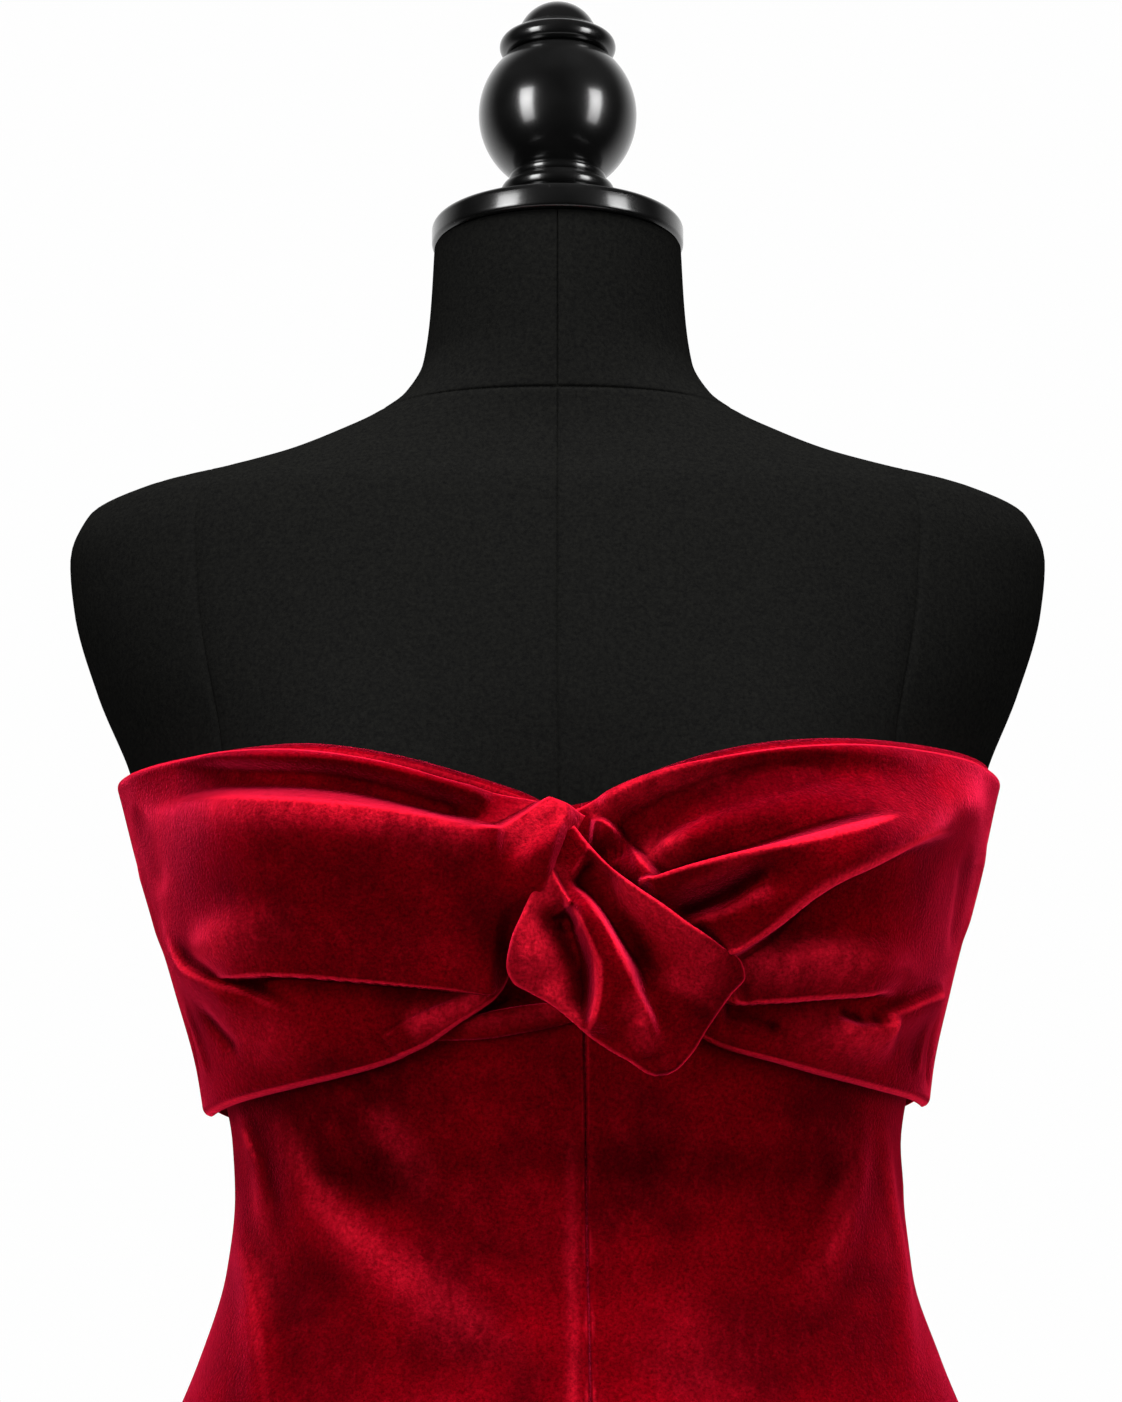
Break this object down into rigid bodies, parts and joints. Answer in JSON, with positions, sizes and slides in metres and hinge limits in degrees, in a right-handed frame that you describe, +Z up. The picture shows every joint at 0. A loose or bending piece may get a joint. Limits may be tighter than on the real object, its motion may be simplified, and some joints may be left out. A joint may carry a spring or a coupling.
{
  "type": "strapless velvet mini dress on a limbless dress form with a stand",
  "caption": "Strapless velvet mini dress with a wrapped, knotted bandeau front, worn by a black limbless dress form on a round weighted stand.",
  "frame": {"origin": "centre of the underside of the stand's base, on the floor", "axes": "+Z up along the pole; the front of the dress faces -Y; +X is to the right in a front view"},
  "size_m": [0.53, 0.3882, 1.5338],
  "materials": {
    "velvet": "deep crimson cut-pile velvet",
    "form_jersey": "matte black jersey",
    "black_lacquer": "gloss black lacquer",
    "board": "plain board",
    "steel": "black satin steel tube",
    "zip_metal": "enamelled to match the cloth"
  },
  "bodies": {
    "dress_on_form": {"stand_base": "black_lacquer", "stand_pole": "steel", "pole_collar": "black_lacquer", "hip_board": "board", "form_torso": "form_jersey", "neck_cap": "black_lacquer", "finial": "black_lacquer", "dress_front_right": "velvet", "dress_front_left": "velvet", "dress_back_left": "velvet", "dress_back_right": "velvet", "band_left": "velvet", "band_right": "velvet", "band_back_left": "velvet", "band_back_right": "velvet", "tie_tail": "velvet", "tie_strip": "velvet", "zip_slider": "zip_metal"},
    "zip_pull": {"zip_pull": "zip_metal"}
  },
  "joints": [
    {"name": "zip_pull_swing", "type": "hinge", "parent": "dress_on_form", "child": "zip_pull", "pos_m": [0, 0.11412, 1.152], "axis": [1, 0, 0], "range_deg": [0, 170]}
  ]
}
